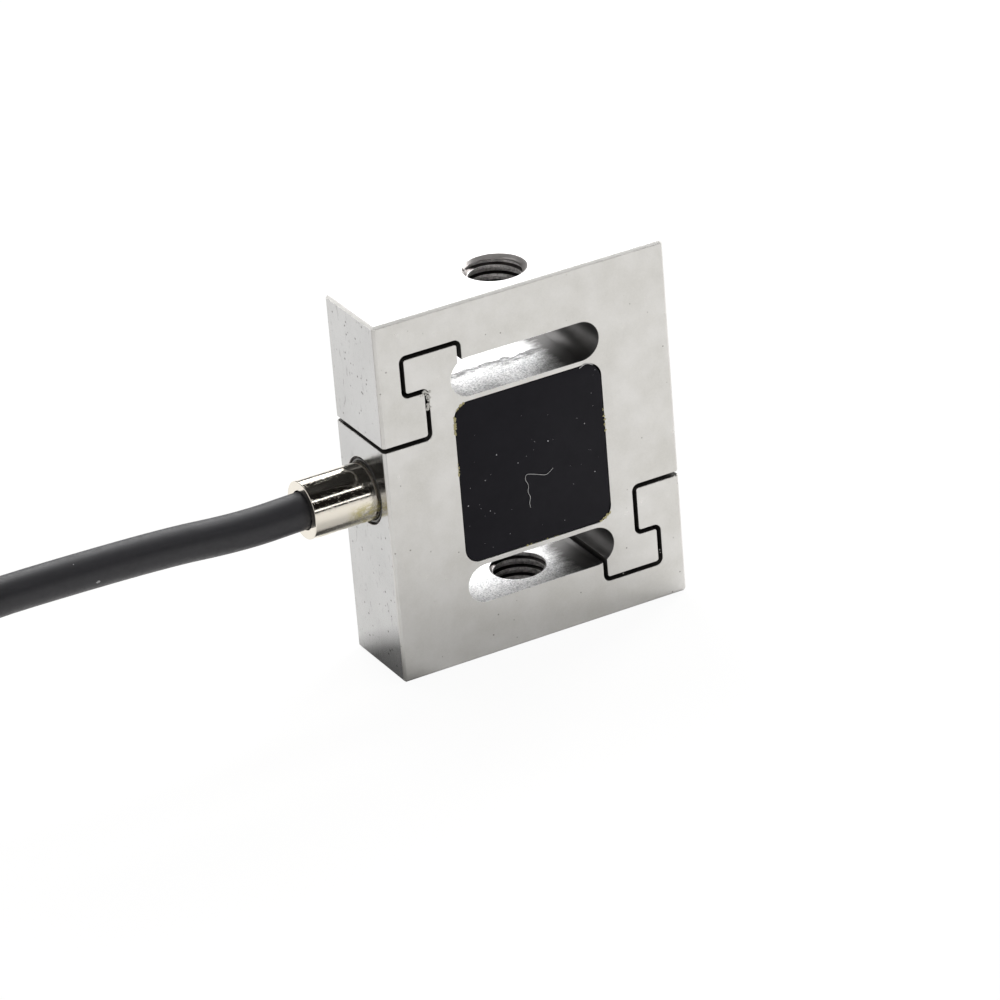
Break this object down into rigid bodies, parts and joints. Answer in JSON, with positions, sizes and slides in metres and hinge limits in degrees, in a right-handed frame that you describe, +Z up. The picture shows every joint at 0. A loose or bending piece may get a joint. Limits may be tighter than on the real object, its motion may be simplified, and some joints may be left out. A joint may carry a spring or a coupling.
{
  "type": "s type load cell",
  "caption": "S-shaped steel load cell with two slits, two windows, a threaded hole in top and bottom, black sealed gauge pockets and a screened cable from its left side.",
  "frame": {"origin": "middle of the block's bottom face", "axes": "+Z up along the load axis; X along the block's width, with the cable leaving the -X side; +Y from the front face to the rear face"},
  "size_m": [0.2755, 0.0546, 0.061],
  "materials": {
    "body_steel": "satin ground stainless steel",
    "cover_sheet": "matt black sheet",
    "potting_silicone": "soft dark fill",
    "ferrule_nickel": "nickel plated, bright",
    "seal_compound": "matt black",
    "cable_jacket": "satin black jacket",
    "core_red": "satin",
    "core_black": "satin",
    "core_green": "satin",
    "core_white": "satin",
    "tinned_copper": "tinned strands",
    "solder": "bright solder",
    "gauge_film": "amber polyimide film",
    "gauge_foil": "constantan foil",
    "board_laminate": "glass laminate",
    "resistor_ceramic": "plain",
    "enamel_wire": "enamelled copper",
    "sleeve_black": "shrunk sleeve",
    "tie_plastic": "flat twist tie"
  },
  "bodies": {
    "root": {"spring_element": "body_steel", "front_cover_pad": "cover_sheet", "rear_cover_pad": "cover_sheet", "front_potting": "potting_silicone", "rear_potting": "potting_silicone", "front_gauge_carrier": "gauge_film", "rear_gauge_carrier": "gauge_film", "front_gauge_grids": "gauge_foil", "rear_gauge_grids": "gauge_foil", "front_terminal_board": "board_laminate", "rear_terminal_board": "board_laminate", "front_solder_joints": "solder", "rear_solder_joints": "solder", "trim_resistors": "resistor_ceramic", "front_gauge_wires": "enamel_wire", "rear_gauge_wires": "enamel_wire", "bridge_wires": "enamel_wire", "core_red": "core_red", "core_black": "core_black", "core_green": "core_green", "core_white": "core_white", "cable_ferrule": "ferrule_nickel", "ferrule_seal": "seal_compound", "signal_cable": "cable_jacket", "cable_hank": "cable_jacket", "cable_tail": "cable_jacket", "hank_tie": "tie_plastic", "strip_sleeve": "sleeve_black", "lead_red": "core_red", "lead_black": "core_black", "lead_green": "core_green", "lead_white": "core_white", "lead_tips": "tinned_copper", "screen_drain": "tinned_copper"}
  },
  "joints": []
}
